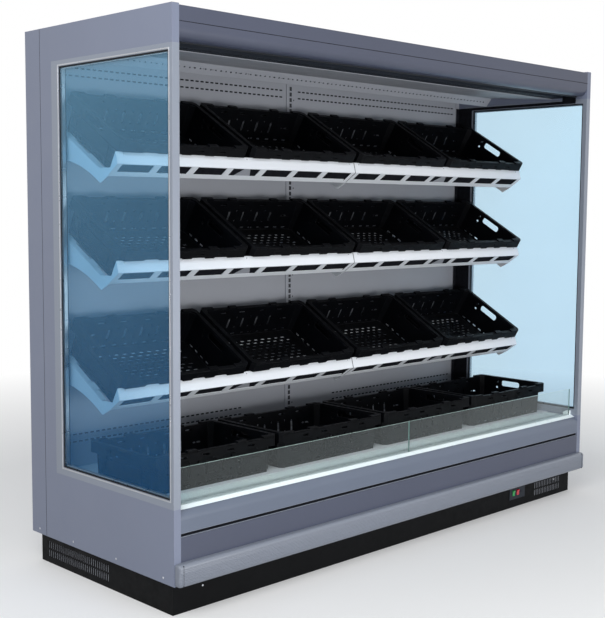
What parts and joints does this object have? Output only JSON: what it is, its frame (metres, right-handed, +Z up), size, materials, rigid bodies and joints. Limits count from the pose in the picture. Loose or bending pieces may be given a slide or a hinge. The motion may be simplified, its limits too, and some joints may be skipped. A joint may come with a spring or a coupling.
{
  "type": "open multideck display fridge",
  "caption": "Open-fronted refrigerated display case with tilted shelves of lift-out produce crates, glazed ends, a glass riser and a pull-down night blind.",
  "frame": {"origin": "on the floor under the middle of the case", "axes": "+X along the case to the shopper's right, +Y towards the back, +Z up"},
  "size_m": [2.56, 0.943, 2.075],
  "materials": {
    "zinc_steel": "satin",
    "black_paint": "satin",
    "grey_paint": "satin",
    "lilac_paint": "satin",
    "window_aluminium": "satin anodised",
    "end_glass": "clear, blue tinted",
    "blind_fabric": "woven",
    "bare_aluminium": "satin",
    "black_plastic": "matte",
    "lamp_lens": "frosted",
    "white_paint": "gloss",
    "grille_plastic": "satin",
    "riser_glass": "clear",
    "bumper_plastic": "satin",
    "copper": "bare",
    "grey_plastic": "satin",
    "green_plastic": "gloss",
    "red_plastic": "gloss",
    "crate_plastic": "satin"
  },
  "bodies": {
    "case": {"base_frame": "zinc_steel", "levelling_feet": "zinc_steel", "plinth_front": "black_paint", "plinth_surround": "black_paint", "insulated_tub": "grey_paint", "insulated_back": "lilac_paint", "insulated_roof": "lilac_paint", "end_panel_left": "lilac_paint", "end_panel_right": "lilac_paint", "end_window_frames": "window_aluminium", "end_glass": "end_glass", "canopy_fascia": "lilac_paint", "blind_brackets": "zinc_steel", "air_outlet": "black_plastic", "ceiling_panel": "grey_paint", "canopy_lamp": "lamp_lens", "rear_wall_panels": "grey_paint", "shelf_uprights": "grey_paint", "shelf_frame_top": "white_paint", "shelf_frame_middle": "white_paint", "shelf_frame_low": "white_paint", "shelf_brackets_top": "white_paint", "shelf_brackets_middle": "white_paint", "shelf_brackets_low": "white_paint", "deck_pans": "white_paint", "air_return_grille": "grille_plastic", "riser_glass": "riser_glass", "riser_holder": "black_plastic", "upper_front_panel": "lilac_paint", "lower_front_panel": "lilac_paint", "bumper": "bumper_plastic", "evaporator_coil": "bare_aluminium", "fan_plenum": "zinc_steel", "service_lines": "copper", "electrical_box": "grey_plastic", "switch_plate": "black_plastic"},
    "blind_bar": {"blind_bar": "bare_aluminium", "blind_cloth": "blind_fabric"},
    "blind_roller": {"blind_roller": "blind_fabric"},
    "fan_left": {"fan_rotor_left": "black_plastic"},
    "fan_centre": {"fan_rotor_centre": "black_plastic"},
    "fan_right": {"fan_rotor_right": "black_plastic"},
    "light_switch": {"light_rocker": "green_plastic"},
    "fan_switch": {"fan_rocker": "red_plastic"},
    "crate_deck_1": {"crate_deck_1": "crate_plastic"},
    "crate_deck_2": {"crate_deck_2": "crate_plastic"},
    "crate_deck_3": {"crate_deck_3": "crate_plastic"},
    "crate_deck_4": {"crate_deck_4": "crate_plastic"},
    "crate_low_1": {"crate_low_1": "crate_plastic"},
    "crate_low_2": {"crate_low_2": "crate_plastic"},
    "crate_low_3": {"crate_low_3": "crate_plastic"},
    "crate_low_4": {"crate_low_4": "crate_plastic"},
    "crate_middle_1": {"crate_middle_1": "crate_plastic"},
    "crate_middle_2": {"crate_middle_2": "crate_plastic"},
    "crate_middle_3": {"crate_middle_3": "crate_plastic"},
    "crate_middle_4": {"crate_middle_4": "crate_plastic"},
    "crate_top_1": {"crate_top_1": "crate_plastic"},
    "crate_top_2": {"crate_top_2": "crate_plastic"},
    "crate_top_3": {"crate_top_3": "crate_plastic"},
    "crate_top_4": {"crate_top_4": "crate_plastic"}
  },
  "joints": [
    {"name": "blind_pull", "type": "slide", "parent": "case", "child": "blind_bar", "axis": [0, 0, -1], "range_m": [0, 1.42], "stiffness_N_per_m": 12, "springref_m": -3, "deforming": ["blind_cloth"]},
    {"name": "blind_roll", "type": "hinge", "parent": "case", "child": "blind_roller", "pos_m": [0, -0.3605, 2.012], "axis": [1, 0, 0], "continuous": true},
    {"name": "fan_left_spin", "type": "hinge", "parent": "case", "child": "fan_left", "pos_m": [-0.8, -0.1285, 0.276], "axis": [0, -1, 0], "continuous": true},
    {"name": "fan_centre_spin", "type": "hinge", "parent": "case", "child": "fan_centre", "pos_m": [0, -0.1285, 0.276], "axis": [0, -1, 0], "continuous": true},
    {"name": "fan_right_spin", "type": "hinge", "parent": "case", "child": "fan_right", "pos_m": [0.8, -0.1285, 0.276], "axis": [0, -1, 0], "continuous": true},
    {"name": "light_switch_tilt", "type": "hinge", "parent": "case", "child": "light_switch", "pos_m": [0.776, -0.3935, 0.07], "axis": [-1, 0, 0], "range_deg": [0, 16]},
    {"name": "fan_switch_tilt", "type": "hinge", "parent": "case", "child": "fan_switch", "pos_m": [0.81, -0.3935, 0.07], "axis": [-1, 0, 0], "range_deg": [0, 16]},
    {"name": "lift_crate_deck_1", "type": "slide", "parent": "case", "child": "crate_deck_1", "axis": [0, 0, 1], "range_m": [0, 0.09]},
    {"name": "lift_crate_deck_2", "type": "slide", "parent": "case", "child": "crate_deck_2", "axis": [0, 0, 1], "range_m": [0, 0.09]},
    {"name": "lift_crate_deck_3", "type": "slide", "parent": "case", "child": "crate_deck_3", "axis": [0, 0, 1], "range_m": [0, 0.09]},
    {"name": "lift_crate_deck_4", "type": "slide", "parent": "case", "child": "crate_deck_4", "axis": [0, 0, 1], "range_m": [0, 0.09]},
    {"name": "lift_crate_low_1", "type": "slide", "parent": "case", "child": "crate_low_1", "axis": [0, -0.5, 0.866], "range_m": [0, 0.11]},
    {"name": "lift_crate_low_2", "type": "slide", "parent": "case", "child": "crate_low_2", "axis": [0, -0.5, 0.866], "range_m": [0, 0.11]},
    {"name": "lift_crate_low_3", "type": "slide", "parent": "case", "child": "crate_low_3", "axis": [0, -0.5, 0.866], "range_m": [0, 0.11]},
    {"name": "lift_crate_low_4", "type": "slide", "parent": "case", "child": "crate_low_4", "axis": [0, -0.5, 0.866], "range_m": [0, 0.11]},
    {"name": "lift_crate_middle_1", "type": "slide", "parent": "case", "child": "crate_middle_1", "axis": [0, -0.5, 0.866], "range_m": [0, 0.11]},
    {"name": "lift_crate_middle_2", "type": "slide", "parent": "case", "child": "crate_middle_2", "axis": [0, -0.5, 0.866], "range_m": [0, 0.11]},
    {"name": "lift_crate_middle_3", "type": "slide", "parent": "case", "child": "crate_middle_3", "axis": [0, -0.5, 0.866], "range_m": [0, 0.11]},
    {"name": "lift_crate_middle_4", "type": "slide", "parent": "case", "child": "crate_middle_4", "axis": [0, -0.5, 0.866], "range_m": [0, 0.11]},
    {"name": "lift_crate_top_1", "type": "slide", "parent": "case", "child": "crate_top_1", "axis": [0, -0.5, 0.866], "range_m": [0, 0.11]},
    {"name": "lift_crate_top_2", "type": "slide", "parent": "case", "child": "crate_top_2", "axis": [0, -0.5, 0.866], "range_m": [0, 0.11]},
    {"name": "lift_crate_top_3", "type": "slide", "parent": "case", "child": "crate_top_3", "axis": [0, -0.5, 0.866], "range_m": [0, 0.11]},
    {"name": "lift_crate_top_4", "type": "slide", "parent": "case", "child": "crate_top_4", "axis": [0, -0.5, 0.866], "range_m": [0, 0.11]}
  ],
  "couplings": [
    {"joint": "blind_roll", "follows": "blind_pull", "rad_per_m": 38.462}
  ]
}
